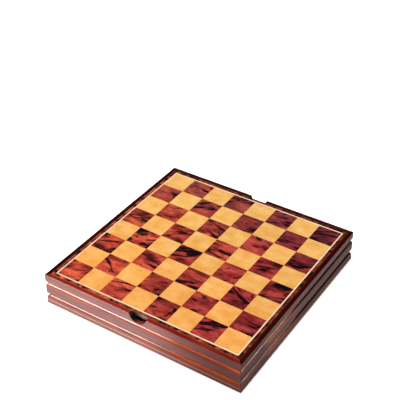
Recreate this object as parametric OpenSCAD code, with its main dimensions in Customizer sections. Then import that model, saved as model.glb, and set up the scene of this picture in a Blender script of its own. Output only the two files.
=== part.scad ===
// Chess box: an inlaid playing board over two lined drawers that pull out at opposite sides.
// Millimetres, +Z up. The origin is on the ground under the middle of the box.
// The front drawer opens towards -Y and the back drawer towards +Y.

/* [Playing board] */
// Side of one square
square = 44; // [38:1:50]
// Thickness of the veneers
veneer_t = 0.6; // [0.5:0.1:1]
// Glue line between neighbouring veneers
veneer_joint = 0.1; // [0.05:0.05:0.2]
// Width of the pale inlay line round the squares
line_w = 2.4; // [1.6:0.2:4]
// How far the inlay line is let into the outer squares
line_bite = 1.4; // [0:0.2:2]
// Width of the dark border outside the inlay line
border_w = 5.5; // [4:0.5:8]
// Thickness of the board's core
core_t = 6.4; // [5:0.2:9]

/* [Moulded sides] */
// Thickness of the moulded sides
moulding_t = 8; // [7:0.5:12]
// Height of the top tier
top_tier_h = 18.5; // [17:0.5:24]
// Height of the middle tier
middle_tier_h = 25; // [20:0.5:32]
// Height of the base tier
base_tier_h = 17.5; // [16:0.5:24]
// Depth of the two grooves between the tiers
groove_d = 4; // [2:0.5:5]
// Radius of the shoulder above each groove
shoulder_r = 7; // [5:0.5:8]
// Radius of the curve that runs in below each tier
under_r = 9; // [6:0.5:10]
// Height of the plain band round the foot
band_h = 8; // [5:0.5:9]
// How far the band stands out from the tiers
band_step = 0.5; // [0.3:0.1:1]
// Radius of the band's lower edge
foot_r = 1.5; // [0.5:0.5:3]
// Radius of the rim's outer edge
edge_r = 0.6; // [0.3:0.1:1.2]

/* [Finger notches] */
// Width of a notch at the rim
notch_w = 33; // [26:1:40]
// Depth of a notch below the rim
notch_d = 14; // [12:0.5:15]

/* [Case] */
// Thickness of the base panel
base_t = 5; // [4:0.5:8]
// Thickness of the two inner case sides
case_side_t = 6; // [5:0.5:9]
// Thickness of the divider between the drawers
divider_t = 6; // [4:0.5:10]
// Width of a drawer runner
runner_w = 8; // [5:0.5:12]
// Thickness of a drawer runner
runner_t = 1.5; // [1:0.5:3]
// Length of a drawer stop
stop_l = 130; // [60:5:200]
// Width of a drawer stop
stop_w = 8; // [5:0.5:12]
// Height of a drawer stop below the board
stop_h = 6.5; // [4:0.5:7]
// Radius of a felt pad under the base
pad_r = 9; // [6:0.5:14]
// Thickness of a felt pad
pad_t = 1; // [0.6:0.2:3]
// Distance of a pad's centre from the edges of the base panel
pad_inset = 21; // [18:1:40]

/* [Drawers] */
// Length of a drawer that stays in the case when it is fully out
drawer_keep = 38.5; // [25:0.5:90]
// Thickness of a drawer's walls
wall_t = 6; // [5:0.5:8]
// Thickness of a drawer's bottom
bottom_t = 3; // [2.5:0.5:5]
// Height of the bottom's groove above the walls' lower edge
groove_up = 2; // [1.5:0.5:4]
// Depth of the groove that holds the bottom
groove_in = 2.5; // [1.5:0.5:3]
// Thickness of the felt lining
lining_t = 1; // [0.5:0.5:2]
// Height of the finger space between a drawer's walls and the board
finger_space = 9; // [8:0.5:12]
// Length of the raised tab at the back of a drawer that meets its stop
tab_l = 110; // [50:5:180]
// Radius of the tab's top corners
tab_r = 4; // [1:0.5:6]
// Radius of the finger hollow in a drawer's front wall
hollow_r = 15; // [10:0.5:20]
// Depth of the finger hollow
hollow_d = 11; // [6:0.5:14]
// Fingers in each corner joint, an odd number
joint_fingers = 5; // [3:2:9]
// Length of the bays for the tall pieces
piece_bay_l = 97; // [85:1:105]
// Bays in the row for the tall pieces
piece_bays = 8; // [4:1:10]
// Bays in the row for the pawns
pawn_bays = 4; // [2:1:8]
// Thickness of the walls between the bays
bay_wall_t = 3; // [2:0.5:5]
// Drop from the top of the drawer's walls to the top of the bay walls
bay_wall_drop = 2; // [0:0.5:6]

/* [Screws] */
// Radius of the screws
screw_r = 1.5; // [1.2:0.1:1.7]
// Radius of a countersunk screw head
head_r = 3; // [2.5:0.1:3.4]
// Depth of a countersunk screw head
head_h = 1.5; // [1:0.1:2]
// Width of the slot in a screw head
slot_w = 0.9; // [0.6:0.1:1.2]
// Depth of the slot in a screw head
slot_d = 0.7; // [0.4:0.1:1]
// Length of the screws that hold a drawer's face
face_screw_l = 12; // [10:0.5:13]
// Length of the screws that hold the base panel
base_screw_l = 18; // [12:1:30]

/* [Clearances] */
// Gap between a drawer's face and the case, also at the mitres
face_gap = 0.3; // [0.2:0.1:0.6]
// Gap on each side of a drawer
side_play = 0.5; // [0.3:0.1:1]
// Gap between a drawer and its runners
run_play = 0.3; // [0.2:0.1:0.5]
// Gap between the back of a drawer and the divider
back_play = 1; // [0.5:0.5:3]
// Gap between a raised tab and the board's underside, and between it and its stop
tab_play = 0.8; // [0.5:0.1:1.5]
// Gap round a screw
screw_play = 0.05; // [0.03:0.01:0.1]

/* [Hidden] */

files = 8; // squares along each side of a chessboard
arc_fn = 96;
eps = 0.01; // overshoot of a cut past the surface that it opens

// Half sizes, outwards from the middle of the board
field_half = files * square / 2;
line_in = field_half - line_bite;
line_out = line_in + line_w;
board_half = line_out + border_w;
board_half_y = board_half - face_gap; // the drawer faces close against these two edges
face_half = board_half + moulding_t;
box_half = face_half + band_step;

// Heights above the ground
groove_1_z = pad_t + base_tier_h;
groove_2_z = groove_1_z + middle_tier_h;
top_z = groove_2_z + top_tier_h;
core_top = top_z - veneer_t;
core_under = core_top - core_t;
base_top = pad_t + base_t;

// Drawer box, drawn for the front drawer
bay_half = board_half - case_side_t; // half width of the space for a drawer
drawer_half = bay_half - side_play;
drawer_z = base_top + runner_t + run_play;
drawer_top = core_under - finger_space;
drawer_front_y = -board_half;
drawer_back_y = -(divider_t / 2 + back_play);
drawer_l = drawer_back_y - drawer_front_y;
inner_half = drawer_half - wall_t;
inner_front_y = drawer_front_y + wall_t;
inner_back_y = drawer_back_y - wall_t;
bottom_z = drawer_z + groove_up;
lining_z = bottom_z + bottom_t;
floor_z = lining_z + lining_t;
tab_top = core_under - tab_play;
bay_top = drawer_top - bay_wall_drop;
bay_split_y = inner_back_y - piece_bay_l; // back of the wall between the two rows of bays
finger_h = (drawer_top - drawer_z) / joint_fingers;
travel = drawer_l - drawer_keep; // 140 mm at the sizes above
stop_y = inner_back_y - travel - tab_play; // side of a stop that the tab meets

// Screws
face_screw_z = pad_t + base_tier_h + middle_tier_h / 2; // where the face is thickest
face_screw_x = [-0.85, -0.3, 0.3, 0.85] * inner_half;
side_screw_x = board_half - case_side_t / 2;
side_screw_y = board_half * 0.7;
divider_screw_x = board_half * 0.6;

light_veneer = "#f4b562";
dark_veneer = "#a03428";
line_veneer = "#ffe6b4";
border_colour = "#6e2a1e";
lacquer = "#7a1512";
plain_wood = "#c9a878";
drawer_wood = "#d8b98a";
felt = "#1f4a34";
steel = "#b9bcc0";

// Height of a curve of radius r that starts upright and ends at the grooves' depth
function rise(r) = sqrt(r * r - pow(max(r - groove_d, 0), 2));
// Low and high edges of the square in file or rank i, trimmed by the inlay line
function low_edge(i) = max((i - files / 2) * square, -line_in) + veneer_joint / 2;
function high_edge(i) = min((i + 1 - files / 2) * square, line_in) - veneer_joint / 2;

// ---------- playing board ----------

module squares(parity) {
    for (i = [0 : files - 1], j = [0 : files - 1]) if ((i + j) % 2 == parity) {
        translate([low_edge(i), low_edge(j), core_top])
            cube([high_edge(i) - low_edge(i), high_edge(j) - low_edge(j), veneer_t]);
    }
}

// Everything on the +X side of two mitre planes, each set back by gap
module mitre_wedge(gap = 0) {
    reach = 2 * box_half;
    back = gap * sqrt(2);
    translate([back, 0, -reach / 2]) linear_extrude(reach) polygon([[0, 0], [reach, -reach], [reach, reach]]);
}

// Four mitred strips between two half sizes, lying on the core
module veneer_frame(inner, outer) {
    for (k = [0 : 3]) intersection() {
        rotate(90 * k) intersection() {
            translate([inner + veneer_joint, -outer, core_top]) cube([outer - inner - veneer_joint, 2 * outer, veneer_t]);
            mitre_wedge(veneer_joint / 2);
        }
        translate([-board_half, -board_half_y, core_top]) cube([2 * board_half, 2 * board_half_y, veneer_t]);
    }
}

module board_core() color(plain_wood)
    translate([-board_half, -board_half_y, core_under]) cube([2 * board_half, 2 * board_half_y, core_t]);

module light_squares() color(light_veneer) squares(1);

module dark_squares() color(dark_veneer) squares(0);

module inlay_line() color(line_veneer) veneer_frame(line_in, line_out);

module border_veneer() color(border_colour) veneer_frame(line_out, board_half);

// ---------- moulded sides ----------
// The profile is drawn with its inner face at x = 0 and its foot at y = 0.

module slab(low, high, t = moulding_t) translate([0, low]) square([t, high - low]);

module disc(r, x, y) translate([x, y]) circle(r = r, $fn = arc_fn);

module foot_band() {
    t = moulding_t + band_step;
    slab(foot_r, band_h, t);
    slab(0, band_h, t - foot_r);
    disc(foot_r, t - foot_r, foot_r);
}

// A tier between two heights, with or without the curve below and the shoulder above
module tier(low, high, has_curve, has_shoulder) {
    straight_low = has_curve ? low + rise(under_r) : low;
    straight_high = has_shoulder ? high - rise(shoulder_r) : high;
    intersection() {
        slab(low, high);
        union() {
            slab(straight_low, straight_high);
            if (has_curve) disc(under_r, moulding_t - under_r, straight_low);
            if (has_shoulder) disc(shoulder_r, moulding_t - shoulder_r, straight_high);
        }
    }
}

module rim(low, high) {
    tier(low, high - edge_r, true, false);
    slab(low + rise(under_r), high, moulding_t - edge_r);
    disc(edge_r, moulding_t - edge_r, high - edge_r);
}

module moulding_profile() {
    groove_1 = base_tier_h;
    groove_2 = groove_1 + middle_tier_h;
    top = groove_2 + top_tier_h;
    slab(0, top, moulding_t - groove_d);
    foot_band();
    tier(foot_r, groove_1, false, true);
    tier(groove_1, groove_2, true, true);
    rim(groove_2, top);
}

// Moulding along the +X side, mitred at both ends
module side_moulding(gap = 0) {
    intersection() {
        rotate([90, 0, 0]) linear_extrude(2 * box_half, center = true)
            translate([board_half, pad_t]) moulding_profile();
        mitre_wedge(gap);
    }
}

module right_moulding() color(lacquer) side_moulding();

module left_moulding() color(lacquer) rotate(180) side_moulding();

// ---------- case ----------

module case_side() {
    difference() {
        translate([bay_half, -board_half_y, base_top]) cube([case_side_t, 2 * board_half_y, core_under - base_top]);
        for (y = [-side_screw_y, 0, side_screw_y]) base_screw_hole(side_screw_x, y);
    }
}

module right_case_side() color(plain_wood) case_side();

module left_case_side() color(plain_wood) rotate(180) case_side();

module centre_divider() color(plain_wood) {
    difference() {
        translate([-bay_half, -divider_t / 2, base_top]) cube([2 * bay_half, divider_t, core_under - base_top]);
        for (x = [-divider_screw_x, 0, divider_screw_x]) base_screw_hole(x, 0);
    }
}

module base_panel() color(plain_wood) {
    difference() {
        translate([-board_half, -board_half_y, pad_t]) cube([2 * board_half, 2 * board_half_y, base_t]);
        at_base_screws() base_screw_hole(0, 0);
    }
}

module drawer_runners() color(plain_wood) {
    run_l = drawer_l - wall_t;
    for (sx = [-1, 1], sy = [-1, 1]) {
        x = sx * (bay_half - runner_w / 2);
        y = sy * (divider_t / 2 + run_l / 2);
        translate([x - runner_w / 2, y - run_l / 2, base_top]) cube([runner_w, run_l, runner_t]);
    }
}

module drawer_stops() color(plain_wood) {
    for (turn = [0, 180]) rotate(turn)
        translate([-stop_l / 2, stop_y - stop_w, core_under - stop_h]) cube([stop_l, stop_w, stop_h]);
}

module felt_pads() color("#1c1c1e") {
    place = board_half - pad_inset;
    for (sx = [-1, 1], sy = [-1, 1]) translate([sx * place, sy * place, 0]) cylinder(r = pad_r, h = pad_t, $fn = arc_fn);
}

// ---------- screws ----------
// A screw points along +Z, and the flat of its head is at z = 0.

module screw(length, play = 0) {
    cylinder(r = screw_r + play, h = length + play, $fn = 32);
    cylinder(r1 = head_r + play, r2 = screw_r + play, h = head_h + play, $fn = 32);
}

module base_screw_hole(x, y) translate([x, y, pad_t - eps]) screw(base_screw_l, screw_play);

module at_base_screws() {
    for (s = [-1, 1], y = [-side_screw_y, 0, side_screw_y]) translate([s * side_screw_x, y, 0]) children();
    for (x = [-divider_screw_x, 0, divider_screw_x]) translate([x, 0, 0]) children();
}

module slotted_screw(length) {
    difference() {
        screw(length);
        translate([-head_r, -slot_w / 2, -eps]) cube([2 * head_r, slot_w, slot_d + eps]);
    }
}

module base_screws() color(steel) at_base_screws() translate([0, 0, pad_t]) slotted_screw(base_screw_l);

// Screws through the drawer's front wall into its face, with their heads in the drawer
module at_face_screws(proud = 0) {
    for (x = face_screw_x) translate([x, inner_front_y + proud, face_screw_z]) rotate([90, 0, 0]) children();
}

module face_screw_holes() at_face_screws(eps) screw(face_screw_l, screw_play);

// ---------- drawers, drawn for the front drawer ----------

module drawer_face() {
    notch_r = (notch_w * notch_w / 4 + notch_d * notch_d) / (2 * notch_d);
    difference() {
        rotate(-90) side_moulding(face_gap);
        translate([0, -board_half + eps, top_z - notch_d + notch_r]) rotate([90, 0, 0])
            cylinder(r = notch_r, h = 2 * moulding_t, $fn = arc_fn);
        face_screw_holes();
    }
}

// Every second finger of a corner joint, counted from the lowest
module finger_rows(first) {
    for (k = [first : 2 : joint_fingers - 1]) translate([0, 0, drawer_z + k * finger_h]) children();
}

module bottom_block() {
    low = inner_front_y - groove_in;
    high = inner_back_y + groove_in;
    half = inner_half + groove_in;
    translate([-half, low, bottom_z]) cube([2 * half, high - low, bottom_t]);
}

module drawer_side() {
    difference() {
        union() {
            translate([inner_half, inner_front_y, drawer_z])
                cube([wall_t, inner_back_y - inner_front_y, drawer_top - drawer_z]);
            finger_rows(1) translate([inner_half, drawer_front_y, 0]) cube([wall_t, drawer_l, finger_h]);
        }
        bottom_block();
    }
}

module drawer_cross_wall(y) {
    difference() {
        union() {
            translate([-inner_half, y, drawer_z]) cube([2 * inner_half, wall_t, drawer_top - drawer_z]);
            finger_rows(0) translate([-drawer_half, y, 0]) cube([2 * drawer_half, wall_t, finger_h]);
            children();
        }
        bottom_block();
    }
}

module inner_front() {
    difference() {
        drawer_cross_wall(drawer_front_y);
        translate([0, inner_front_y + eps, drawer_top - hollow_d + hollow_r]) rotate([90, 0, 0])
            cylinder(r = hollow_r, h = wall_t + 2 * eps, $fn = arc_fn);
        face_screw_holes();
    }
}

// Outline of the back wall's middle with its raised tab, which meets the stop when the drawer is out
module tab_outline() {
    translate([-tab_l / 2, drawer_z]) square([tab_l, tab_top - tab_r - drawer_z]);
    translate([-tab_l / 2 + tab_r, drawer_z]) square([tab_l - 2 * tab_r, tab_top - drawer_z]);
    for (s = [-1, 1]) disc(tab_r, s * (tab_l / 2 - tab_r), tab_top - tab_r);
}

module drawer_back() {
    drawer_cross_wall(inner_back_y)
        translate([0, drawer_back_y, 0]) rotate([90, 0, 0]) linear_extrude(wall_t) tab_outline();
}

module drawer_lining() {
    translate([-inner_half, inner_front_y, lining_z]) cube([2 * inner_half, inner_back_y - inner_front_y, lining_t]);
}

// One row of walls that part a row of bays between y_low and y_high
module bay_row(count, y_low, y_high) {
    pitch = (2 * inner_half + bay_wall_t) / count;
    for (k = [1 : count - 1])
        translate([-inner_half + k * pitch - bay_wall_t, y_low, floor_z])
            cube([bay_wall_t, y_high - y_low, bay_top - floor_z]);
}

module bay_walls() {
    split_low = bay_split_y - bay_wall_t;
    translate([-inner_half, split_low, floor_z]) cube([2 * inner_half, bay_wall_t, bay_top - floor_z]);
    bay_row(piece_bays, split_low, inner_back_y);
    bay_row(pawn_bays, inner_front_y, bay_split_y);
}

module drawer_bottom() bottom_block();

module drawer_screws() at_face_screws() slotted_screw(face_screw_l);

module front_drawer_face() color(lacquer) drawer_face();
module front_drawer_inner_front() color(drawer_wood) inner_front();
module front_drawer_left_side() color(drawer_wood) mirror([1, 0, 0]) drawer_side();
module front_drawer_right_side() color(drawer_wood) drawer_side();
module front_drawer_back() color(drawer_wood) drawer_back();
module front_drawer_bottom() color(plain_wood) drawer_bottom();
module front_drawer_lining() color(felt) drawer_lining();
module front_drawer_bay_walls() color(felt) bay_walls();
module front_drawer_screws() color(steel) drawer_screws();

module back_drawer_face() rotate(180) front_drawer_face();
module back_drawer_inner_front() rotate(180) front_drawer_inner_front();
module back_drawer_left_side() rotate(180) front_drawer_left_side();
module back_drawer_right_side() rotate(180) front_drawer_right_side();
module back_drawer_back() rotate(180) front_drawer_back();
module back_drawer_bottom() rotate(180) front_drawer_bottom();
module back_drawer_lining() rotate(180) front_drawer_lining();
module back_drawer_bay_walls() rotate(180) front_drawer_bay_walls();
module back_drawer_screws() rotate(180) front_drawer_screws();

board_core();
light_squares();
dark_squares();
inlay_line();
border_veneer();
left_moulding();
right_moulding();
left_case_side();
right_case_side();
centre_divider();
base_panel();
drawer_runners();
drawer_stops();
base_screws();
felt_pads();
front_drawer_face();
front_drawer_inner_front();
front_drawer_left_side();
front_drawer_right_side();
front_drawer_back();
front_drawer_bottom();
front_drawer_lining();
front_drawer_bay_walls();
front_drawer_screws();
back_drawer_face();
back_drawer_inner_front();
back_drawer_left_side();
back_drawer_right_side();
back_drawer_back();
back_drawer_bottom();
back_drawer_lining();
back_drawer_bay_walls();
back_drawer_screws();
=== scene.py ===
import bpy
import math
from mathutils import Matrix, Vector


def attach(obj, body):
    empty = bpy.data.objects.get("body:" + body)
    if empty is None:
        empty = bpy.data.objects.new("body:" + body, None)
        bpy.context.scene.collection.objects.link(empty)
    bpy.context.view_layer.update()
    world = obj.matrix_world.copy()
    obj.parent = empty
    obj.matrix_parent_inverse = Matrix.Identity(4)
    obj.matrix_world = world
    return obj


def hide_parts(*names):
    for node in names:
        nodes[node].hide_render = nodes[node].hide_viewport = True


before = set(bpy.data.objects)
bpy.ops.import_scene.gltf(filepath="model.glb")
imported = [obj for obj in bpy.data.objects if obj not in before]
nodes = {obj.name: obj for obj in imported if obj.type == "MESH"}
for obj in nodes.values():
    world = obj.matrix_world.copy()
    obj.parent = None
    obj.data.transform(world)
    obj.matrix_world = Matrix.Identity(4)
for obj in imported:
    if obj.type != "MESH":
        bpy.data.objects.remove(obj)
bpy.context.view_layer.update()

mm = 0.001
slack = 0.002 * mm  # a picked vertex or edge may lie this far off
scene = bpy.context.scene


# colours and nodes

def hexColour(text):  # sRGB hex to linear
    parts = [int(text[i:i + 2], 16) / 255 for i in (1, 3, 5)]
    return [c / 12.92 if c <= 0.04045 else ((c + 0.055) / 1.055) ** 2.4 for c in parts] + [1.0]


def addNode(tree, kind, inputs=None, stops=(), **settings):
    # inputs go by socket name, or in a list in the order of the sockets in use; text is a hex
    # colour, and a node stands for its first output in use
    node = tree.nodes.new("ShaderNode" + kind)
    for name, value in settings.items():
        setattr(node, name, value)
    if isinstance(inputs, list):
        pairs = list(zip([socket for socket in node.inputs if socket.enabled], inputs))
    else:
        pairs = [(node.inputs[name], value) for name, value in (inputs or {}).items()]
    for socket, value in pairs:
        if isinstance(value, bpy.types.Node):
            value = next(output for output in value.outputs if output.enabled)
        if isinstance(value, bpy.types.NodeSocket):
            tree.links.new(value, socket)
        else:
            socket.default_value = hexColour(value) if isinstance(value, str) else value
    while stops and len(node.color_ramp.elements) < len(stops):
        node.color_ramp.elements.new(0.5)
    for index, (place, colour) in enumerate(stops):
        node.color_ramp.elements[index].position = place
        node.color_ramp.elements[index].color = hexColour(colour)
    return node


eased = {"interpolation_type": "SMOOTHSTEP"}  # for a Map Range node
coloured = {"data_type": "RGBA"}              # for a Mix node
multiplied = {"operation": "MULTIPLY"}        # for a Math node


def newMaterial(name):
    material = bpy.data.materials.new(name)
    material.use_nodes = True
    material.node_tree.nodes.clear()
    return material, material.node_tree


def dress(obj, material):
    obj.data.materials.clear()
    obj.data.materials.append(material)


def clouds(tree, place, size, detail=3.0, roughness=0.5, distortion=0.0):
    # a cloudy pattern with features of the given size in mm along x, y and z
    scaled = addNode(tree, "Mapping", {"Vector": place, "Scale": [1000 / part for part in size]})
    return addNode(tree, "TexNoise", {"Vector": scaled, "Scale": 1.0, "Detail": detail,
                                      "Roughness": roughness, "Distortion": distortion})


def band(tree, value, rise, fall):
    # 1 between two places and 0 outside them, with soft ends
    start = addNode(tree, "MapRange", [value, *rise], **eased)
    end = addNode(tree, "MapRange", [value, *fall, 1.0, 0.0], **eased)
    return addNode(tree, "Math", [start, end], **multiplied)


# modelling helpers: everything is picked in code, by its place

def deselectAll():
    if bpy.context.object and bpy.context.object.mode != "OBJECT":
        bpy.ops.object.mode_set(mode="OBJECT")
    bpy.ops.object.select_all(action="DESELECT")


def selectOnly(obj):
    deselectAll()
    obj.select_set(True)
    bpy.context.view_layer.objects.active = obj


def editMode(obj):
    selectOnly(obj)
    bpy.ops.object.mode_set(mode="EDIT")


def pickVerts(obj, test):
    bpy.ops.mesh.select_mode(type="VERT")
    bpy.ops.mesh.select_all(action="DESELECT")
    bpy.ops.object.mode_set(mode="OBJECT")
    for v in obj.data.vertices:
        v.select = bool(test(v.co))
    bpy.ops.object.mode_set(mode="EDIT")


def pickEdges(obj, test):
    bpy.ops.mesh.select_mode(type="EDGE")
    bpy.ops.mesh.select_all(action="DESELECT")
    bpy.ops.object.mode_set(mode="OBJECT")
    points = obj.data.vertices
    for e in obj.data.edges:
        e.select = bool(test(points[e.vertices[0]].co, points[e.vertices[1]].co))
    bpy.ops.object.mode_set(mode="EDIT")


def turnFacesOut():
    bpy.ops.mesh.select_all(action="SELECT")
    bpy.ops.mesh.normals_make_consistent(inside=False)


def applyModifier(obj, kind, **settings):
    bpy.ops.object.mode_set(mode="OBJECT")
    selectOnly(obj)
    modifier = obj.modifiers.new(kind.title(), kind)
    for name, value in settings.items():
        setattr(modifier, name, value)
    bpy.ops.object.modifier_apply(modifier=modifier.name)


def copyOf(obj, name):
    other = obj.copy()
    other.data = obj.data.copy()
    other.name = name
    scene.collection.objects.link(other)
    return other


def turnPiece(obj, degrees):
    editMode(obj)
    bpy.ops.mesh.select_all(action="SELECT")
    bpy.ops.transform.rotate(value=math.radians(-degrees), orient_axis="Z", center_override=(0, 0, 0))
    bpy.ops.object.mode_set(mode="OBJECT")


def smoothCurves(obj, degrees=28):
    bpy.ops.object.mode_set(mode="OBJECT")
    selectOnly(obj)
    bpy.ops.object.shade_smooth_by_angle(angle=math.radians(degrees))
    applyModifier(obj, "WEIGHTED_NORMAL", keep_sharp=True, weight=100)


# mouldings: one profile in three tiers, drawn line by line and arc by arc

moulding = {  # mm, as in the part
    "inner": 182.5, "thickness": 8.0, "foot": 1.0, "top": 62.0,
    "groove1": 18.5, "groove2": 43.5, "grooveDepth": 4.0,
    "shoulderR": 7.0, "underR": 9.0, "rimR": 0.6, "innerEdgeR": 0.5,
    "bandStep": 0.5, "bandTop": 9.0, "footR": 1.5,
    "grooveSteps": 12, "footSteps": 6, "rimSteps": 5, "edgeSteps": 4,
    "mitreEase": 0.22, "mitreLoop": 1.2, "weld": 0.02,
    "gap": 0.3,  # round a drawer's face
}


def rise(radius):
    return math.sqrt(radius ** 2 - (radius - moulding["grooveDepth"]) ** 2)


def profileSteps():
    # lines to a point, and arcs by centre, sweep and count of steps
    m = moulding
    outer = m["inner"] + m["thickness"]
    ledge = outer + m["bandStep"]
    steps = [
        ("line", ledge - m["footR"], m["foot"]),
        ("arc", ledge - m["footR"], m["foot"] + m["footR"], 90, m["footSteps"]),
        ("line", ledge, m["bandTop"] - m["bandStep"]),
        ("arc", outer, m["bandTop"] - m["bandStep"], 90, m["edgeSteps"]),
    ]
    sweep = [math.degrees(math.acos(1 - m["grooveDepth"] / m[r])) for r in ("shoulderR", "underR")]
    for groove in (m["groove1"], m["groove2"]):
        low, high = groove - rise(m["shoulderR"]), groove + rise(m["underR"])
        steps += [
            ("line", outer, low),
            ("arc", outer - m["shoulderR"], low, sweep[0], m["grooveSteps"]),
            ("arc", outer - m["underR"], high, sweep[1], m["grooveSteps"]),
        ]
    return steps + [
        ("line", outer, m["top"] - m["rimR"]),
        ("arc", outer - m["rimR"], m["top"] - m["rimR"], 90, m["rimSteps"]),
        ("line", m["inner"] + m["innerEdgeR"], m["top"]),
        ("arc", m["inner"] + m["innerEdgeR"], m["top"] - m["innerEdgeR"], 90, m["edgeSteps"]),
    ]


def makeMoulding(name, gap):
    # starts from a plane, of which one edge becomes the profile's back, and ends as a long bar
    # along Y that is mitred at both ends
    m = moulding
    reach = (m["inner"] + m["thickness"] + m["bandStep"]) * mm
    foot, top, inner = m["foot"] * mm, (m["top"] - m["innerEdgeR"]) * mm, m["inner"] * mm
    deselectAll()
    bpy.ops.mesh.primitive_plane_add(size=top - foot, location=(inner, -reach, (top + foot) / 2),
                                     rotation=(math.pi / 2, 0, 0))
    obj = bpy.context.object
    obj.name = name
    bpy.ops.object.transform_apply(location=True, rotation=True, scale=True)
    editMode(obj)
    bpy.ops.mesh.select_all(action="SELECT")
    bpy.ops.transform.translate(value=(-(top - foot) / 2, 0, 0))
    pickVerts(obj, lambda co: co.x < inner - slack)
    bpy.ops.mesh.delete(type="VERT")
    pickVerts(obj, lambda co: co.z < foot + slack)
    place = Vector((inner, 0, foot))
    for kind, x, z, *arc in profileSteps():
        target = Vector((x * mm, 0, z * mm))
        if kind == "line":
            bpy.ops.mesh.extrude_region_move(TRANSFORM_OT_translate={"value": tuple(target - place)})
            place = target
        else:
            angle, steps = math.radians(arc[0]), arc[1]
            bpy.ops.mesh.spin(steps=steps, angle=angle, center=(target.x, -reach, target.z), axis=(0, 1, 0))
            place = target + Matrix.Rotation(-angle, 3, "Y") @ (place - target)
    bpy.ops.mesh.select_all(action="SELECT")
    bpy.ops.mesh.remove_doubles(threshold=m["weld"] * mm)
    bpy.ops.mesh.edge_face_add()
    bpy.ops.mesh.extrude_region_move(TRANSFORM_OT_translate={"value": (0, 2 * reach, 0)})
    # where the two mitres meet, and the loops beside them
    tip, loop = gap * math.sqrt(2) * mm, (gap + m["mitreLoop"]) * math.sqrt(2) * mm
    for side in (1, -1):
        bpy.ops.mesh.select_all(action="SELECT")
        bpy.ops.mesh.bisect(plane_co=(tip, 0, 0), plane_no=(1, side, 0), use_fill=True,
                            clear_inner=True, clear_outer=False, threshold=1e-6)
    turnFacesOut()

    def onMitre(co):
        return abs(co.x - tip - abs(co.y)) < slack

    pickEdges(obj, lambda a, b: onMitre(a) and onMitre(b))
    bpy.ops.mesh.bevel(offset=m["mitreEase"] * mm, segments=2, affect="EDGES")
    for side in (1, -1):  # a loop beside each mitre keeps the long faces evenly shaded
        bpy.ops.mesh.select_all(action="SELECT")
        bpy.ops.mesh.bisect(plane_co=(loop, 0, 0), plane_no=(1, side, 0))
    return obj


notch = {  # mm
    "width": 33.0, "depth": 14.0, "ease": 0.4, "easeSteps": 4, "steps": 96, "overrun": 3.0, "loop": 1.5,
}


def notchCircle():
    # the radius of the notch's arc and the height of its centre
    radius = (notch["width"] ** 2 / 4 + notch["depth"] ** 2) / (2 * notch["depth"])
    return radius, moulding["top"] - notch["depth"] + radius


def cutNotch(obj):
    # for a moulding that lies along -Y; the cutter is a round bar that flares at both faces
    radius, height = notchCircle()
    outer, inner, ease = -(moulding["inner"] + moulding["thickness"]), -moulding["inner"], notch["ease"]
    flare = []
    for k in range(notch["easeSteps"] + 1):
        angle = math.pi / 2 * k / notch["easeSteps"]
        flare.append((ease * (1 - math.cos(angle)), radius + ease * (1 - math.sin(angle))))
    rings = [(outer + y, r) for y, r in flare] + [(inner - y, r) for y, r in reversed(flare)]
    rings.append((inner + notch["overrun"], rings[-1][1]))
    editMode(obj)
    beside = (notch["width"] / 2 + notch["loop"]) * mm
    for x in (-beside, beside):  # a loop beside each end of the notch
        bpy.ops.mesh.select_all(action="SELECT")
        bpy.ops.mesh.bisect(plane_co=(x, 0, 0), plane_no=(1, 0, 0))
    place, size = outer - notch["overrun"], rings[0][1]
    deselectAll()
    bpy.ops.mesh.primitive_circle_add(vertices=notch["steps"], radius=size * mm, fill_type="NGON",
                                      location=(0, place * mm, height * mm), rotation=(math.pi / 2, 0, 0))
    cutter = bpy.context.object
    bpy.ops.object.transform_apply(location=True, rotation=True, scale=True)
    editMode(cutter)
    bpy.ops.mesh.select_all(action="SELECT")
    for y, r in rings:
        bpy.ops.mesh.extrude_region_move(TRANSFORM_OT_translate={"value": (0, (y - place) * mm, 0)})
        if r != size:
            bpy.ops.transform.resize(value=(r / size, 1, r / size),
                                     center_override=(0, y * mm, height * mm))
        place, size = y, r
    turnFacesOut()
    applyModifier(obj, "BOOLEAN", object=cutter, operation="DIFFERENCE", solver="MANIFOLD")
    bpy.data.objects.remove(cutter)


rightMoulding = makeMoulding("right_moulding_lacquered", 0)
smoothCurves(rightMoulding)
leftMoulding = copyOf(rightMoulding, "left_moulding_lacquered")
turnPiece(leftMoulding, 180)
frontFace = makeMoulding("front_face_lacquered", moulding["gap"])
turnPiece(frontFace, -90)
cutNotch(frontFace)
smoothCurves(frontFace)
backFace = copyOf(frontFace, "back_face_lacquered")
turnPiece(backFace, 180)
mouldings = {
    rightMoulding: ("case", "right_moulding"), leftMoulding: ("case", "left_moulding"),
    frontFace: ("front_drawer", "front_drawer_face"), backFace: ("back_drawer", "back_drawer_face"),
}
for obj, (body, node) in mouldings.items():
    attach(obj, body)
    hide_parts(node)
print("mouldings made")


# felt in the drawers and under the base

drawerFelt = {  # mm
    "halfWidth": 170.0, "front": -176.5, "back": -10.0, "floor": 12.8, "thickness": 1.0,
    "cuts": 12, "edge": 0.3, "edgeSteps": 3,
    "wallTop": 44.0, "wall": 3.0, "wallRound": 1.45, "roundSteps": 6, "splitLow": -110.0, "bays": 8,
}


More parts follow.
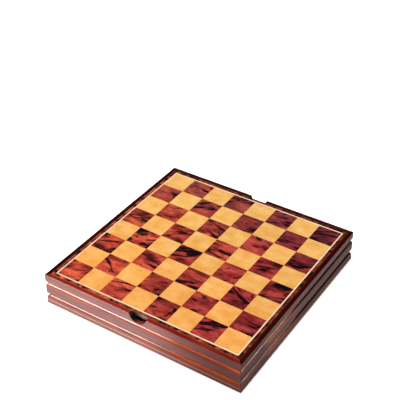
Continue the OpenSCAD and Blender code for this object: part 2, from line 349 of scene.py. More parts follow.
def makeLining(name):
    # a felt sheet glued flat on the drawer's bottom, its cut edges softened
    f = drawerFelt
    length, middle = f["back"] - f["front"], (f["front"] + f["back"]) / 2
    deselectAll()
    bpy.ops.mesh.primitive_plane_add(size=mm)
    obj = bpy.context.object
    obj.name = name
    editMode(obj)
    bpy.ops.mesh.select_all(action="SELECT")
    bpy.ops.transform.resize(value=(2 * f["halfWidth"], length, 1))
    bpy.ops.transform.translate(value=(0, middle * mm, f["floor"] * mm))
    bpy.ops.mesh.subdivide(number_cuts=f["cuts"])
    bpy.ops.mesh.extrude_region_move(TRANSFORM_OT_translate={"value": (0, 0, f["thickness"] * mm)})
    turnFacesOut()
    top = (f["floor"] + f["thickness"]) * mm
    sides = ((0, 0.0, f["halfWidth"]), (1, middle, length / 2))  # axis, centre and reach

    def onBorder(a, b):
        along = [a[axis] == b[axis] and abs(a[axis] - centre * mm) > reach * mm - slack
                 for axis, centre, reach in sides]
        return min(a.z, b.z) > top - slack and any(along)

    pickEdges(obj, onBorder)
    bpy.ops.mesh.bevel(offset=f["edge"] * mm, segments=f["edgeSteps"], affect="EDGES")
    bpy.ops.object.mode_set(mode="OBJECT")
    return obj


def makeWall(low, high):
    # one upright wall of felt-covered board with a round top, from corner to corner in plan
    f = drawerFelt
    bottom, top = f["floor"] + f["thickness"], f["wallTop"]
    size = (high[0] - low[0], high[1] - low[1], top - bottom)
    middle = (high[0] + low[0], high[1] + low[1], top + bottom)
    deselectAll()
    bpy.ops.mesh.primitive_cube_add(size=mm)
    obj = bpy.context.object
    editMode(obj)
    bpy.ops.mesh.select_all(action="SELECT")
    bpy.ops.transform.resize(value=size)
    bpy.ops.transform.translate(value=[v / 2 * mm for v in middle])
    along = 0 if size[0] > size[1] else 1

    def onTop(a, b):  # the two long edges, without the short ones across the ends
        return min(a.z, b.z) > top * mm - slack and abs(a[along] - b[along]) > 2 * f["wall"] * mm

    pickEdges(obj, onTop)
    bpy.ops.mesh.bevel(offset=f["wallRound"] * mm, segments=f["roundSteps"], affect="EDGES")
    bpy.ops.object.mode_set(mode="OBJECT")
    return obj


def makeBayWalls(name):
    # the long wall, then the cross walls; every second one also parts the pawns' bays
    f = drawerFelt
    obj = makeWall((-f["halfWidth"], f["splitLow"]), (f["halfWidth"], f["splitLow"] + f["wall"]))
    obj.name = name
    pitch = (2 * f["halfWidth"] + f["wall"]) / f["bays"]
    crossWalls = []
    for k in range(1, f["bays"]):
        x = -f["halfWidth"] + k * pitch - f["wall"]
        start = f["front"] if k % 2 == 0 else f["splitLow"] + f["wall"] / 2
        crossWalls.append(makeWall((x, start), (x + f["wall"], f["back"])))
    deselectAll()
    for wall in crossWalls:
        wall.select_set(True)
    bpy.context.view_layer.objects.active = crossWalls[0]
    bpy.ops.object.join()
    applyModifier(obj, "BOOLEAN", object=crossWalls[0], operation="UNION", solver="MANIFOLD")
    bpy.data.objects.remove(crossWalls[0])
    return obj


frontLining = makeLining("front_drawer_felt_lining")
frontBays = makeBayWalls("front_drawer_felt_bay_walls")
smoothCurves(frontBays)
backLining = copyOf(frontLining, "back_drawer_felt_lining")
turnPiece(backLining, 180)
backBays = copyOf(frontBays, "back_drawer_felt_bay_walls")
turnPiece(backBays, 180)
for side, lining, bays in (("front", frontLining, frontBays), ("back", backLining, backBays)):
    for obj, node in ((lining, f"{side}_drawer_lining"), (bays, f"{side}_drawer_bay_walls")):
        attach(obj, f"{side}_drawer")
        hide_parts(node)

footPad = {"radius": 9.0, "thickness": 1.0, "place": 161.5, "steps": 48, "edge": 0.35, "edgeSteps": 3}  # mm

place, thick = footPad["place"] * mm, footPad["thickness"] * mm
deselectAll()
bpy.ops.mesh.primitive_cylinder_add(vertices=footPad["steps"], radius=footPad["radius"] * mm, depth=thick)
feltPads = bpy.context.object
feltPads.name = "base_felt_pads"
editMode(feltPads)
pickEdges(feltPads, lambda a, b: max(a.z, b.z) < 0)
bpy.ops.mesh.bevel(offset=footPad["edge"] * mm, segments=footPad["edgeSteps"], affect="EDGES")
bpy.ops.mesh.select_all(action="SELECT")
bpy.ops.transform.translate(value=(place, place, thick / 2))
for step in ((-2 * place, 0, 0), (0, -2 * place, 0)):  # two, then four
    bpy.ops.mesh.select_all(action="SELECT")
    bpy.ops.mesh.duplicate_move(TRANSFORM_OT_translate={"value": step})
bpy.ops.object.mode_set(mode="OBJECT")
smoothCurves(feltPads)
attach(feltPads, "case")
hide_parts("felt_pads")
print("felt made")


# lacquer on the mouldings

lacquer = {
    "grain": (45, 1.6, 1.6), "patches": (60, 9, 9), "waves": (14, 14, 14), "toneRange": (0.7, 1.3),  # mm
    # how far a surface faces upward, from and to: 0 is upright and 1 level
    "shouldered": (-0.02, 0.36), "shoulderShade": (0.15, 0.6, 0.62, 1.0), "under": (0.0, -0.5),
    "crestSlope": (0.4, 0.7),
    # from and to along Y, in metres as the shader's coordinates are, like all that follow
    "warmFrom": (-0.13, -0.095), "warmTo": (-0.06, 0.01),
    "nearFace": (-0.13, -0.10), "nearGloss": (-0.15, -0.10),
    # along X
    "leftEnd": (-0.01, 0.15), "shine": (-0.02, 0.09), "lowEnd": (0.05, 0.17),
    "ledgeShare": (-0.04, 0.12, 0.95, 0.4), "notchAcross": (-0.009, 0.005),
    # heights
    "ledgeFrom": (0.0082, 0.0087), "ledgeTo": (0.0096, 0.0101), "lowTiers": (0.036, 0.042),
    "crest": (0.0580, 0.0605), "rim": (0.0609, 0.0615),
    # out from the middle of the box, and from the centre of the notch
    "groove": (0.1892, 0.1905), "rimEdge": (0.1828, 0.1845), "notchWall": (0.0170, 0.0174),
    # the notch wall's painted shade at the left and painted light at the right; grooveCoat is the coat
    # painted duller in the grooves, as shade
    "notchShadedLeft": "#1C0B09", "notchLitRight": "#8C3A2C", "grooveCoat": 0.3,
}


def lacqueredBoard(name, look):
    # Tinted polyester lacquer sprayed over a stained moulding: a red body with darker streaks along
    # the board, darker on the rim, under a glassy coat. Light and shade are painted into its colour:
    # lighter on the shoulders that face up, darker under the tiers and in the grooves, paler at the left
    # end.
    material, tree = newMaterial(name)
    at = lacquer
    coordinates = addNode(tree, "TexCoord").outputs
    along = addNode(tree, "Mapping", {"Vector": coordinates["Object"], "Location": look["shift"],
                                      "Rotation": (0, 0, math.radians(look["turn"]))})
    grain = clouds(tree, along, at["grain"], detail=4, roughness=0.6)
    patches = clouds(tree, along, at["patches"], detail=2)
    tone = addNode(tree, "Math", [grain, patches], operation="ADD")
    tone = addNode(tree, "MapRange", [tone, *at["toneRange"]], **eased)
    x, y, z = addNode(tree, "SeparateXYZ", [coordinates["Object"]]).outputs
    upward = addNode(tree, "SeparateXYZ", [coordinates["Normal"]]).outputs["Z"]
    sideways = [addNode(tree, "Math", [axis], operation="ABSOLUTE") for axis in (x, y)]
    reach = addNode(tree, "Math", sideways, operation="MAXIMUM")

    # flat faces, with painted shade near the front corner; rounded shoulders, painted lighter where
    # they face up and darker lower down, with a painted band of light along Y; and the undersides over
    # the grooves, painted darker as shade
    face = addNode(tree, "Mix", [tone, look["faceDark"], look["face"]], **coloured)
    near = addNode(tree, "MapRange", [y, *at["nearFace"], look["nearFace"], 1.0], **eased)
    face = addNode(tree, "HueSaturation", {"Color": face, "Value": near})
    shoulder = addNode(tree, "Mix", [tone, look["face"], look["shoulder"]], **coloured)
    level = addNode(tree, "MapRange", [upward, *at["shoulderShade"]], **eased)
    shoulder = addNode(tree, "HueSaturation", {"Color": shoulder, "Value": level})
    warm = band(tree, y, at["warmFrom"], at["warmTo"])
    shoulder = addNode(tree, "Mix", [warm, shoulder, look["warm"]], **coloured)
    shouldered = addNode(tree, "MapRange", [upward, *at["shouldered"]], **eased)
    body = addNode(tree, "Mix", [shouldered, face, shoulder], **coloured)
    under = addNode(tree, "MapRange", [upward, *at["under"]], **eased)
    body = addNode(tree, "Mix", [under, body, look["under"]], **coloured)

    # a painted highlight along the edge over the base, strongest at the left
    ledgeHighlight = addNode(tree, "MapRange", [x, *at["ledgeShare"]], **eased)
    ledgeHighlight = addNode(tree, "Math", [band(tree, z, at["ledgeFrom"], at["ledgeTo"]), ledgeHighlight], **multiplied)
    body = addNode(tree, "Mix", [ledgeHighlight, body, look["ledge"]], **coloured)

    # painted shade in the grooves, more so towards the back
    inGroove = addNode(tree, "MapRange", [reach, *at["groove"], 1.0, 0.0], **eased)
    grooveShadeAlongY = addNode(tree, "MapRange", [y, *look["grooveShadeAlongY"]], **eased)
    paintedGrooveShade = addNode(tree, "Math", [inGroove, grooveShadeAlongY], **multiplied)
    body = addNode(tree, "Mix", [paintedGrooveShade, body, look["groove"]], **coloured)

    # the rim, with a painted highlight where it meets the board
    rim = addNode(tree, "Mix", [tone, look["rimDark"], look["rim"]], **coloured)
    inside = addNode(tree, "MapRange", [reach, *at["rimEdge"], 1.0, 0.0], **eased)
    rim = addNode(tree, "Mix", [inside, rim, look["innerEdge"]], **coloured)
    onRim = addNode(tree, "MapRange", [z, *at["rim"]], **eased)
    body = addNode(tree, "Mix", [onRim, body, rim], **coloured)

    # the wall of the finger notch, painted near black at its left as shade and red brown at its right as
    # light
    overCentre = addNode(tree, "Math", [z, notchCircle()[1] * mm], operation="SUBTRACT")
    flat = addNode(tree, "CombineXYZ", {"X": x, "Z": overCentre})
    away = addNode(tree, "VectorMath", [flat], operation="LENGTH")
    wall = addNode(tree, "MapRange", [away, *at["notchWall"], 1.0, 0.0], **eased)
    wall = addNode(tree, "Math", [look["notched"], wall], **multiplied)
    across = addNode(tree, "MapRange", [x, *at["notchAcross"]], **eased)
    wallColour = addNode(tree, "Mix", [across, at["notchShadedLeft"], at["notchLitRight"]], **coloured)
    body = addNode(tree, "Mix", [wall, body, wallColour], **coloured)

    # painted light and shade: the colour is paler at the left end and darker towards the right and in the
    # two lower tiers
    lowShoulder = [x, *at["lowEnd"], look["lowShoulder"], look["lowEnd"]]
    lowShoulder = addNode(tree, "MapRange", lowShoulder, **eased)
    lowest = addNode(tree, "MapRange", [shouldered, 0.0, 1.0, look["low"], lowShoulder], **eased)
    low = addNode(tree, "MapRange", [z, *at["lowTiers"], lowest, 1.0], **eased)
    crest = [upward, *at["crestSlope"], look["shoulderFade"], look["crestFade"]]
    crest = addNode(tree, "MapRange", crest, **eased)
    crest = addNode(tree, "MapRange", [z, *at["crest"], crest, look["rimFade"]], **eased)
    faceFade = addNode(tree, "MapRange", [x, *at["leftEnd"], 1.0, look["fade"]], **eased)
    shoulderFade = addNode(tree, "MapRange", [x, *at["leftEnd"], 1.0, crest], **eased)
    fade = addNode(tree, "Mix", [shouldered, faceFade, shoulderFade], **coloured)
    lit = addNode(tree, "Math", [fade, low], **multiplied)

    # the coat mirrors the room; its share is painted down at the right, low down and in the grooves as
    # shade, and near the front corner painted down on the faces and up on the shoulders as a highlight
    faceCoat = addNode(tree, "MapRange", [x, *at["leftEnd"], 1.0, look["coatFade"]], **eased)
    shoulderCoat = addNode(tree, "MapRange", [x, *at["shine"], 1.0, look["shoulderGloss"]], **eased)
    gloss = addNode(tree, "Mix", [shouldered, faceCoat, shoulderCoat], **coloured)
    dulled = addNode(tree, "MapRange", [paintedGrooveShade, 0.0, 1.0, 1.0, at["grooveCoat"]], **eased)
    corner = addNode(tree, "MapRange", [shouldered, 0.0, 1.0, look["nearFace"], look["nearGloss"]], **eased)
    corner = addNode(tree, "MapRange", [y, *at["nearGloss"], corner, 1.0], **eased)
    coat = look["coat"]
    for share in (low, gloss, dulled, corner):
        coat = addNode(tree, "Math", [coat, share], **multiplied)

    waves = clouds(tree, coordinates["Object"], at["waves"], detail=1)
    bump = addNode(tree, "Bump", {"Height": waves, "Strength": 0.03, "Distance": 0.0006})
    surface = addNode(tree, "BsdfPrincipled", {
        "Base Color": addNode(tree, "HueSaturation", {"Color": body, "Value": lit}),
        "Roughness": 0.5, "IOR": 1.5, "Specular IOR Level": 0.0,
        "Coat Weight": coat, "Coat Roughness": 0.035, "Coat IOR": look["coatIor"],
        "Normal": bump, "Coat Normal": bump})
    addNode(tree, "OutputMaterial", {"Surface": surface})
    return material


# the sides' look, which the back face shares: the same lacquer painted as in shade, with darker colours and
# a thinner coat than the front's
sideLook = {
    "turn": 90, "shift": (0.1, 0.3, 0.0),  # of the grain, in degrees and metres
    "coat": 0.31, "coatIor": 1.5, "notched": 0.0,  # notched is 1 for a board with a finger notch
    "fade": 1.0, "shoulderFade": 1.0, "crestFade": 1.0, "rimFade": 1.0,  # painted light: brightness at the right end
    "coatFade": 1.0, "shoulderGloss": 1.0,  # painted reflection: the coat's share at the right end
    "low": 0.9, "lowShoulder": 0.74, "lowEnd": 0.74,  # painted shade: brightness of the two lower tiers
    "nearGloss": 1.4, "nearFace": 0.7,  # painted shade on the faces and painted highlight on the shoulders by the front corner
    "grooveShadeAlongY": (-0.1, 0.02, 0.0, 1.0), "groove": "#2B110C",  # painted shade in the grooves, along Y
    # the lighter shoulder is painted light and warm a painted band of light along it; under is painted
    # shade, and ledge and innerEdge are painted highlights
    "face": "#5C2D22", "faceDark": "#2C1512", "shoulder": "#8E4632", "warm": "#A8563A",
    "under": "#3A1710", "ledge": "#6A4238",
    "rim": "#3E0A05", "rimDark": "#280402", "innerEdge": "#4E231C",
}
backLook = dict(sideLook, turn=0, notched=1.0, grooveShadeAlongY=(0.0, 0.001, 1.0, 1.0),
                rim="#42160E", rimDark="#2C0E08")
# the front face's look: the same lacquer painted as lit, with brighter colours and a stronger coat than the
# sides; its fades paint the light falling off towards the right
frontLook = {
    "turn": 0, "shift": (0.7, 0.2, 0.0),
    "coat": 1.0, "coatIor": 1.9, "notched": 1.0,
    "fade": 0.34, "shoulderFade": 0.7, "crestFade": 1.0, "rimFade": 0.72,
    "coatFade": 0.28, "shoulderGloss": 0.07,
    "low": 0.92, "lowShoulder": 0.8, "lowEnd": 0.56, "nearGloss": 1.0, "nearFace": 1.0,
    "grooveShadeAlongY": (0.0, 0.001, 0.0, 0.0), "groove": "#1C0906",
    # the lighter shoulder is painted light, under is painted shade, and ledge and innerEdge are painted
    # highlights
    "face": "#98392A", "faceDark": "#702216", "shoulder": "#DC6026", "warm": "#DC6026",
    "under": "#842F20", "ledge": "#F2B4A2",
    "rim": "#A0301D", "rimDark": "#74190F", "innerEdge": "#B85C48",
}
sideLacquer = lacqueredBoard("tintedLacquerOnSideBoards", sideLook)
frontLacquer = lacqueredBoard("tintedLacquerOnFrontFace", frontLook)
backLacquer = lacqueredBoard("tintedLacquerOnBackFace", backLook)
dress(rightMoulding, sideLacquer)
dress(leftMoulding, sideLacquer)
dress(frontFace, frontLacquer)
dress(backFace, backLacquer)
print("mouldings lacquered")


# veneers of the playing board

board = {
    "square": 44.0,  # mm
    "jump": (3.0, 5.0, 7.0),  # how far a square's figure may lie from its neighbour's, in metres
    "across": (-0.18, 0.18), "depth": (-0.18, 0.12),  # where the light on it changes, in metres
}


def perSquare(tree, place):
    # a chance value and a moved place for each square, the same all over it
    step = board["square"] * mm
    cell = addNode(tree, "VectorMath", [place, (step, step, 1.0)], operation="DIVIDE")
    whole = addNode(tree, "VectorMath", [cell], operation="FLOOR")
    flat = addNode(tree, "VectorMath", [whole, (1.0, 1.0, 0.0)], operation="MULTIPLY")
    chance = addNode(tree, "TexWhiteNoise", {"Vector": flat}, noise_dimensions="3D").outputs
    jump = addNode(tree, "VectorMath", [chance["Color"], board["jump"]], operation="MULTIPLY")
    return chance, addNode(tree, "VectorMath", [place, jump], operation="ADD")


def slide(tree, place, left, right):
    # painted light: a brightness that slides over the board from left to right
    x = addNode(tree, "SeparateXYZ", [place]).outputs["X"]
    return addNode(tree, "MapRange", [x, *board["across"], left, right], **eased)


def glossLacquer(tree, colour):
    # clear polyester lacquer, polished flat: the room's lights lie on it as on glass
    surface = addNode(tree, "BsdfPrincipled", {
        "Base Color": colour, "Roughness": 0.5, "IOR": 1.5, "Specular IOR Level": 0.0,
        "Coat Weight": 1.0, "Coat Roughness": 0.04, "Coat IOR": 1.5})
    addNode(tree, "OutputMaterial", {"Surface": surface})


maple = {  # sizes in mm
    "figure": (26, 18, 20), "tones": [(0.3, "#F2AF59"), (0.5, "#F9BD6B"), (0.7, "#FECA7F")],
    "curls": (9, 4, 20), "curlRange": (0.54, 0.74, 0.0, 0.5), "curlColour": "#CE904E",
    # leftRight and the two tints are painted light across and along the board
    "luck": (0.96, 1.03), "leftRight": (1.0, 0.94), "frontTint": "#FFF0E4", "backTint": "#FAFFFF",
}


def mapleVeneer():
    # Maple veneer under clear gloss lacquer: even honey yellow with faint darker curls, a little lighter
    # or darker from square to square; painted light makes it a little darker towards the right and
    # warmer in front.
    material, tree = newMaterial("mapleVeneerGlossLacquer")
    place = addNode(tree, "TexCoord").outputs["Object"]
    chance, moved = perSquare(tree, place)
    figure = clouds(tree, moved, maple["figure"], detail=2)
    colour = addNode(tree, "ValToRGB", {"Fac": figure}, stops=maple["tones"])
    curls = clouds(tree, moved, maple["curls"], detail=3, distortion=1.5)
    curls = addNode(tree, "MapRange", [curls, *maple["curlRange"]], **eased)
    colour = addNode(tree, "Mix", [curls, colour, maple["curlColour"]], **coloured)
    luck = addNode(tree, "MapRange", [chance["Value"], 0.0, 1.0, *maple["luck"]], **eased)
    # a chance brightness for each square, then painted light from left to right
    for light in (luck, slide(tree, place, *maple["leftRight"])):
        colour = addNode(tree, "HueSaturation", {"Color": colour, "Value": light})
    # painted light: warmer in front than at the back
    y = addNode(tree, "SeparateXYZ", [place]).outputs["Y"]
    depth = addNode(tree, "MapRange", [y, *board["depth"]], **eased)
    tint = addNode(tree, "Mix", [depth, maple["frontTint"], maple["backTint"]], **coloured)
    colour = addNode(tree, "Mix", [1.0, colour, tint], blend_type="MULTIPLY", **coloured)
    glossLacquer(tree, colour)
    return material


rosewood = {  # sizes in mm; a range is from, to and what it gives there
    "clouds": (44, 20, 20),
    "tones": [(0.33, "#4A1A19"), (0.42, "#97372F"), (0.52, "#C04838"), (0.67, "#E6684A")],
    "streaks": (24, 1.5, 20), "streakRange": (0.35, 0.65, 0.84, 1.08), "feather": (0.2, 0.8, -0.07, 0.07),
    "mottle": (9, 4, 10), "mottleRange": (0.36, 0.6, 0.68, 1.06),
    # backRange and backColour are a painted reflection on the back rows
    "backRange": (0.02, 0.17, 0.0, 0.4), "backColour": "#6C4A48",
    "turns": (-0.55, 0.45), "strokes": (52, 13, 30),  # radians, mm
    "strokeEdge": (0.52, 0.61, 0.0, 0.6), "strokeEdgeColour": "#3A1418",
    "strokeCore": (0.555, 0.635, 0.0, 0.95), "strokeCoreColour": "#120A10",
    "blots": (24, 17, 13), "blotRange": (0.55, 0.64), "blotLuck": (0.78, 0.82), "blotColour": "#0E0A10",
    # tintRange and rightTint are painted shade towards the right
    "luck": (0.94, 1.2), "tintRange": (-0.14, 0.14), "rightTint": "#CCB6E6",
}


def rosewoodVeneer():
    # Rosewood veneer under clear gloss lacquer: red clouds and fine streaks along X, and over them
    # broad black strokes, each square turned a little its own way; a few squares are blotched black.
    # The back rows are greyer, as a painted reflection, and the right side is painted darker and more
    # purple, as shade.
    material, tree = newMaterial("rosewoodVeneerGlossLacquer")
    place = addNode(tree, "TexCoord").outputs["Object"]
    chance, moved = perSquare(tree, place)
    luck = addNode(tree, "SeparateXYZ", [chance["Color"]]).outputs
    x, y = addNode(tree, "SeparateXYZ", [place]).outputs[:2]
    red = clouds(tree, moved, rosewood["clouds"], detail=3, roughness=0.5, distortion=0.7)
    colour = addNode(tree, "ValToRGB", {"Fac": red}, stops=rosewood["tones"])
    streaks = clouds(tree, moved, rosewood["streaks"], detail=3, roughness=0.6, distortion=0.3)
    mottle = clouds(tree, moved, rosewood["mottle"], detail=4, roughness=0.6, distortion=0.5)
    for pattern, span in ((streaks, rosewood["streakRange"]), (mottle, rosewood["mottleRange"])):
        light = addNode(tree, "MapRange", [pattern, *span], **eased)
        colour = addNode(tree, "HueSaturation", {"Color": colour, "Value": light})
    # painted reflection: the back rows turn greyer
    paintedBackReflection = addNode(tree, "MapRange", [y, *rosewood["backRange"]], **eased)
    colour = addNode(tree, "Mix", [paintedBackReflection, colour, rosewood["backColour"]], **coloured)

    # black strokes with a softer brown edge, feathered by the fine streaks
    angle = addNode(tree, "MapRange", [luck["X"], 0.0, 1.0, *rosewood["turns"]], **eased)
    turned = addNode(tree, "VectorRotate", {"Vector": moved, "Angle": angle}, rotation_type="Z_AXIS")
    feather = addNode(tree, "MapRange", [streaks, *rosewood["feather"]], **eased)
    strokes = clouds(tree, turned, rosewood["strokes"], detail=3, roughness=0.45, distortion=1.1)
    strokes = addNode(tree, "Math", [strokes, feather], operation="ADD")
    for part in ("strokeEdge", "strokeCore"):
        share = addNode(tree, "MapRange", [strokes, *rosewood[part]], **eased)
        colour = addNode(tree, "Mix", [share, colour, rosewood[part + "Colour"]], **coloured)

    # black blots on the squares whose luck says so
    blots = clouds(tree, moved, rosewood["blots"], detail=2, distortion=0.6)
    blots = addNode(tree, "Math", [blots, feather], operation="ADD")
    blots = addNode(tree, "MapRange", [blots, *rosewood["blotRange"]], **eased)
    chosen = addNode(tree, "MapRange", [luck["Y"], *rosewood["blotLuck"]], **eased)
    blots = addNode(tree, "Math", [blots, chosen], **multiplied)
    colour = addNode(tree, "Mix", [blots, colour, rosewood["blotColour"]], **coloured)

    light = addNode(tree, "MapRange", [luck["Z"], 0.0, 1.0, *rosewood["luck"]], **eased)
    colour = addNode(tree, "HueSaturation", {"Color": colour, "Value": light})
    # painted shade: darker and more purple towards the right
    tint = addNode(tree, "MapRange", [x, *rosewood["tintRange"]], **eased)
    tint = [tint, colour, rosewood["rightTint"]]
    colour = addNode(tree, "Mix", tint, blend_type="MULTIPLY", **coloured)
    glossLacquer(tree, colour)
    return material


inlay = {
    "name": "hollyStringing", "size": (9, 9, 9), "stops": [(0.35, "#F5D4AE"), (0.65, "#FEE6C8")],
    "leftRight": (1.0, 1.0), "front": 1.0, "back": 1.0,
}
border = {
    "name": "rosewoodBanding", "size": (13, 13, 13),
    "stops": [(0.36, "#170B09"), (0.46, "#5A2A1E"), (0.56, "#8E4430"), (0.7, "#B4604A")],
    # painted light across and along the board
    "leftRight": (1.35, 0.66), "front": 1.4, "back": 0.72,
}
stripPlaces = {"front": (-0.1771, -0.1769), "back": (0.10, 0.17)}  # metres along Y


def veneerStrip(look):
    # Narrow veneer strips under clear gloss lacquer. The holly stringing is cream, almost without
    # figure; the rosewood banding is orange brown broken by black dashes, with painted light that makes
    # it brightest along the front and at the left, and darker at the back and the right.
    material, tree = newMaterial(look["name"])
    place = addNode(tree, "TexCoord").outputs["Object"]
    figure = clouds(tree, place, look["size"], detail=3, distortion=0.5)
    colour = addNode(tree, "ValToRGB", {"Fac": figure}, stops=look["stops"])
    y = addNode(tree, "SeparateXYZ", [place]).outputs["Y"]
    front = addNode(tree, "MapRange", [y, *stripPlaces["front"], look["front"], 1.0], **eased)
    back = addNode(tree, "MapRange", [y, *stripPlaces["back"], 1.0, look["back"]], **eased)
    for light in (front, back, slide(tree, place, *look["leftRight"])):
        colour = addNode(tree, "HueSaturation", {"Color": colour, "Value": light})
    glossLacquer(tree, colour)
    return material


dress(nodes["light_squares"], mapleVeneer())
dress(nodes["dark_squares"], rosewoodVeneer())
dress(nodes["inlay_line"], veneerStrip(inlay))
dress(nodes["border_veneer"], veneerStrip(border))
print("playing board dressed")


# plain wood, steel and felt of the case and the drawers

wood = {  # sizes in mm
    "growth": (120, 4, 4), "pores": (5, 0.5, 0.5), "poreRange": (0.6, 0.68, 0.0, 0.35),
    "pine": [(0.3, "#9A7448"), (0.5, "#B08A5C"), (0.7, "#C29C70")],
    "beech": [(0.3, "#B98A58"), (0.5, "#CFA273"), (0.7, "#DDB88C")],
    # the notch edge's colours: painted shade at the left, a painted reflection at the right
    "edgeInShade": "#1A1012", "edge": "#6E4A4A", "edgeAcross": (-0.010, 0.004),  # metres along X
}


def planedWood(name, turn, stops, lacqueredEdge=False):
    # Planed wood without gloss: long growth lines and short dark pores along them, drawn half a
    # millimetre wide so that they show. Upright edges may be stained and lacquered, as the board's
    # are where the notch shows them.
    material, tree = newMaterial(name)
    coordinates = addNode(tree, "TexCoord").outputs
    along = addNode(tree, "Mapping", {"Vector": coordinates["Object"],
                                      "Rotation": (0, 0, math.radians(turn))})
    growth = clouds(tree, along, wood["growth"], detail=6, roughness=0.6, distortion=0.4)
    pores = clouds(tree, along, wood["pores"], detail=1)
    pores = addNode(tree, "MapRange", [pores, *wood["poreRange"]], **eased)
    colour = addNode(tree, "ValToRGB", {"Fac": growth}, stops=stops)
    colour = addNode(tree, "Mix", [pores, colour, stops[0][1]], blend_type="MULTIPLY", **coloured)
    bump = addNode(tree, "Bump", {"Height": growth, "Strength": 0.15, "Distance": 0.0003})
    coat = 0.0
    if lacqueredEdge:
        upward = addNode(tree, "SeparateXYZ", [coordinates["Normal"]]).outputs["Z"]
        upward = addNode(tree, "Math", [upward], operation="ABSOLUTE")
        coat = addNode(tree, "MapRange", [upward, 0.4, 0.6, 1.0, 0.0], **eased)
        # painted shade at the left end of the finger notch, and a painted reflection at its right
        x = addNode(tree, "SeparateXYZ", [coordinates["Object"]]).outputs["X"]
        across = addNode(tree, "MapRange", [x, *wood["edgeAcross"]], **eased)
        stain = addNode(tree, "Mix", [across, wood["edgeInShade"], wood["edge"]], **coloured)
        colour = addNode(tree, "Mix", [coat, colour, stain], **coloured)
    surface = addNode(tree, "BsdfPrincipled", {
        "Base Color": colour, "Roughness": 0.55, "Normal": bump, "Coat Weight": coat})
    addNode(tree, "OutputMaterial", {"Surface": surface})
    return material


def platedSteel(name):
    # Zinc-plated steel: pale grey metal with a soft shine.
    material, tree = newMaterial(name)
    surface = addNode(tree, "BsdfPrincipled", {"Base Color": "#C8CACC", "Metallic": 1.0, "Roughness": 0.3})
    addNode(tree, "OutputMaterial", {"Surface": surface})
    return material


def woolFelt(name, dark, light, sheen):
    # Short-pile wool felt: matted fibres that look speckled close up, with cloudy patches and a soft
    # sheen. The fibres are drawn 0.7 mm wide, which is coarser than real ones, so that they show.
    material, tree = newMaterial(name)
    place = addNode(tree, "TexCoord").outputs["Object"]
    fibres = clouds(tree, place, (0.7, 0.7, 0.7), detail=4, roughness=0.7, distortion=2.0)
    patches = clouds(tree, place, (22, 22, 22), detail=2)
    shares = ((fibres, 0.6), (patches, 0.4))
    tone = [addNode(tree, "Math", [pattern, share], **multiplied) for pattern, share in shares]
    tone = addNode(tree, "Math", tone, operation="ADD")
    bump = addNode(tree, "Bump", {"Height": fibres, "Strength": 0.5, "Distance": 0.0003})
    surface = addNode(tree, "BsdfPrincipled", {
        "Base Color": addNode(tree, "ValToRGB", {"Fac": tone}, stops=[(0.35, dark), (0.65, light)]),
        "Roughness": 0.95, "Normal": bump, "Specular IOR Level": 0.15,
        "Sheen Weight": 0.5, "Sheen Roughness": 0.5, "Sheen Tint": sheen})
    addNode(tree, "OutputMaterial", {"Surface": surface})
    return material


beechAlongX = planedWood("planedBeechAlongX", 0, wood["beech"])
beechAlongY = planedWood("planedBeechAlongY", 90, wood["beech"])
pineAlongX = planedWood("planedPineAlongX", 0, wood["pine"])
pineAlongY = planedWood("planedPineAlongY", 90, wood["pine"])
steel = platedSteel("zincPlatedSteel")
greenBaize = woolFelt("greenBaize", "#113320", "#235A3D", "#8FC7A6")
padFelt = woolFelt("blackFelt", "#0E0E10", "#2A2A2E", "#9A9AA2")

dress(nodes["board_core"], planedWood("boardCoreWithLacqueredEdge", 0, wood["pine"], lacqueredEdge=True))
for name in ("left_case_side", "right_case_side", "drawer_runners"):
    dress(nodes[name], pineAlongY)
for name in ("centre_divider", "base_panel", "drawer_stops"):
    dress(nodes[name], pineAlongX)
dress(nodes["base_screws"], steel)
dress(feltPads, padFelt)
for side in ("front", "back"):
    for part in ("inner_front", "back", "bottom"):
        dress(nodes[f"{side}_drawer_{part}"], beechAlongX)
    for part in ("left_side", "right_side"):
        dress(nodes[f"{side}_drawer_{part}"], beechAlongY)
    dress(nodes[f"{side}_drawer_screws"], steel)
for obj in (frontLining, frontBays, backLining, backBays):
    dress(obj, greenBaize)
print("case and drawers dressed")


# studio: pale floor, soft light, camera at the photograph's angle

studio = {
    "floorRadius": 9.0, "floorSteps": 96, "floorColour": "#F9F9F8", "floorGlow": 0.55,
    "horizon": (0.08, 0.36), "room": (0.5, 0.015),  # the room's light below and above these heights
    "clip": (0.05, 20),
}
softboxes = {
    "keySoftbox": {"colour": "#FFF5EE", "radiance": 13.2, "size": (1.96, 1.95),
                   "place": (-2.38, -3.42, 3.17), "aim": (-2.38, -0.19, 0.04)},
    "overheadSoftbox": {"colour": "#FFFFFF", "radiance": 6.3, "size": (3.0, 3.0),
                        "place": (0.1, -0.2, 5.0), "aim": (0.1, -0.2, 0)},
    "rearSoftbox": {"colour": "#FFF2E8", "radiance": 52.0, "size": (1.1, 0.6),
                    "place": (3.66, 3.45, 2.91), "aim": (0.19, 3.45, 0.04)},
}
view = {  # fitted to the corners of the 64 squares in the photograph
    "lens": 83.219, "sensor": 36, "place": (0.674189, -1.029078, 1.053303),
    "right": (0.83723, 0.54679, -0.00760), "up": (-0.31313, 0.49076, 0.81309),
    "ahead": (-0.44832, 0.67836, -0.58209),
}


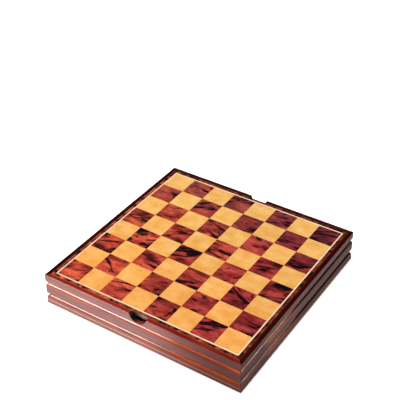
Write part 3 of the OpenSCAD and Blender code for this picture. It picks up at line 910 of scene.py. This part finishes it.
def paperSweep(name):
    # Pale matt paper that glows a little: an even, almost white ground with a faint soft shadow.
    material, tree = newMaterial(name)
    surface = addNode(tree, "BsdfPrincipled", {
        "Base Color": studio["floorColour"], "Roughness": 0.9, "Specular IOR Level": 0.0,
        "Emission Color": "#FFFFFF", "Emission Strength": studio["floorGlow"]})
    addNode(tree, "OutputMaterial", {"Surface": surface})
    return material


def softbox(name, look):
    lamp = bpy.data.lights.new(name, "AREA")
    lamp.shape = "RECTANGLE"
    lamp.size, lamp.size_y = look["size"]
    lamp.color = hexColour(look["colour"])[:3]
    lamp.energy = look["radiance"] * math.pi * lamp.size * lamp.size_y
    obj = bpy.data.objects.new(name, lamp)
    scene.collection.objects.link(obj)
    obj.location = look["place"]
    obj.rotation_euler = (Vector(look["aim"]) - Vector(look["place"])).to_track_quat("-Z", "Y").to_euler()
    obj.visible_camera = False


deselectAll()
bpy.ops.mesh.primitive_circle_add(vertices=studio["floorSteps"], radius=studio["floorRadius"],
                                  fill_type="NGON")
floor = bpy.context.object
floor.name = "studio_floor"
dress(floor, paperSweep("palePaperSweep"))

for name, look in softboxes.items():
    softbox(name, look)

# the room is pale at the horizon and dark higher up, where the flat lacquer looks
world = bpy.data.worlds.new("studioRoom")
scene.world = world
world.use_nodes = True
tree = world.node_tree
tree.nodes.clear()
height = addNode(tree, "SeparateXYZ", [addNode(tree, "TexCoord").outputs["Generated"]]).outputs["Z"]
room = addNode(tree, "MapRange", [height, *studio["horizon"], *studio["room"]], **eased)
background = addNode(tree, "Background", {"Color": "#FFFFFF", "Strength": room})
addNode(tree, "OutputWorld", {"Surface": background})

camera = bpy.data.objects.new("camera", bpy.data.cameras.new("camera"))
scene.collection.objects.link(camera)
camera.data.lens, camera.data.sensor_width = view["lens"], view["sensor"]
camera.data.clip_start, camera.data.clip_end = studio["clip"]
axes = Matrix((view["right"], view["up"], -Vector(view["ahead"]))).transposed().to_4x4()
camera.matrix_world = Matrix.Translation(view["place"]) @ axes
scene.camera = camera
scene.view_settings.view_transform = "Standard"
scene.view_settings.look = "None"
print("studio set")
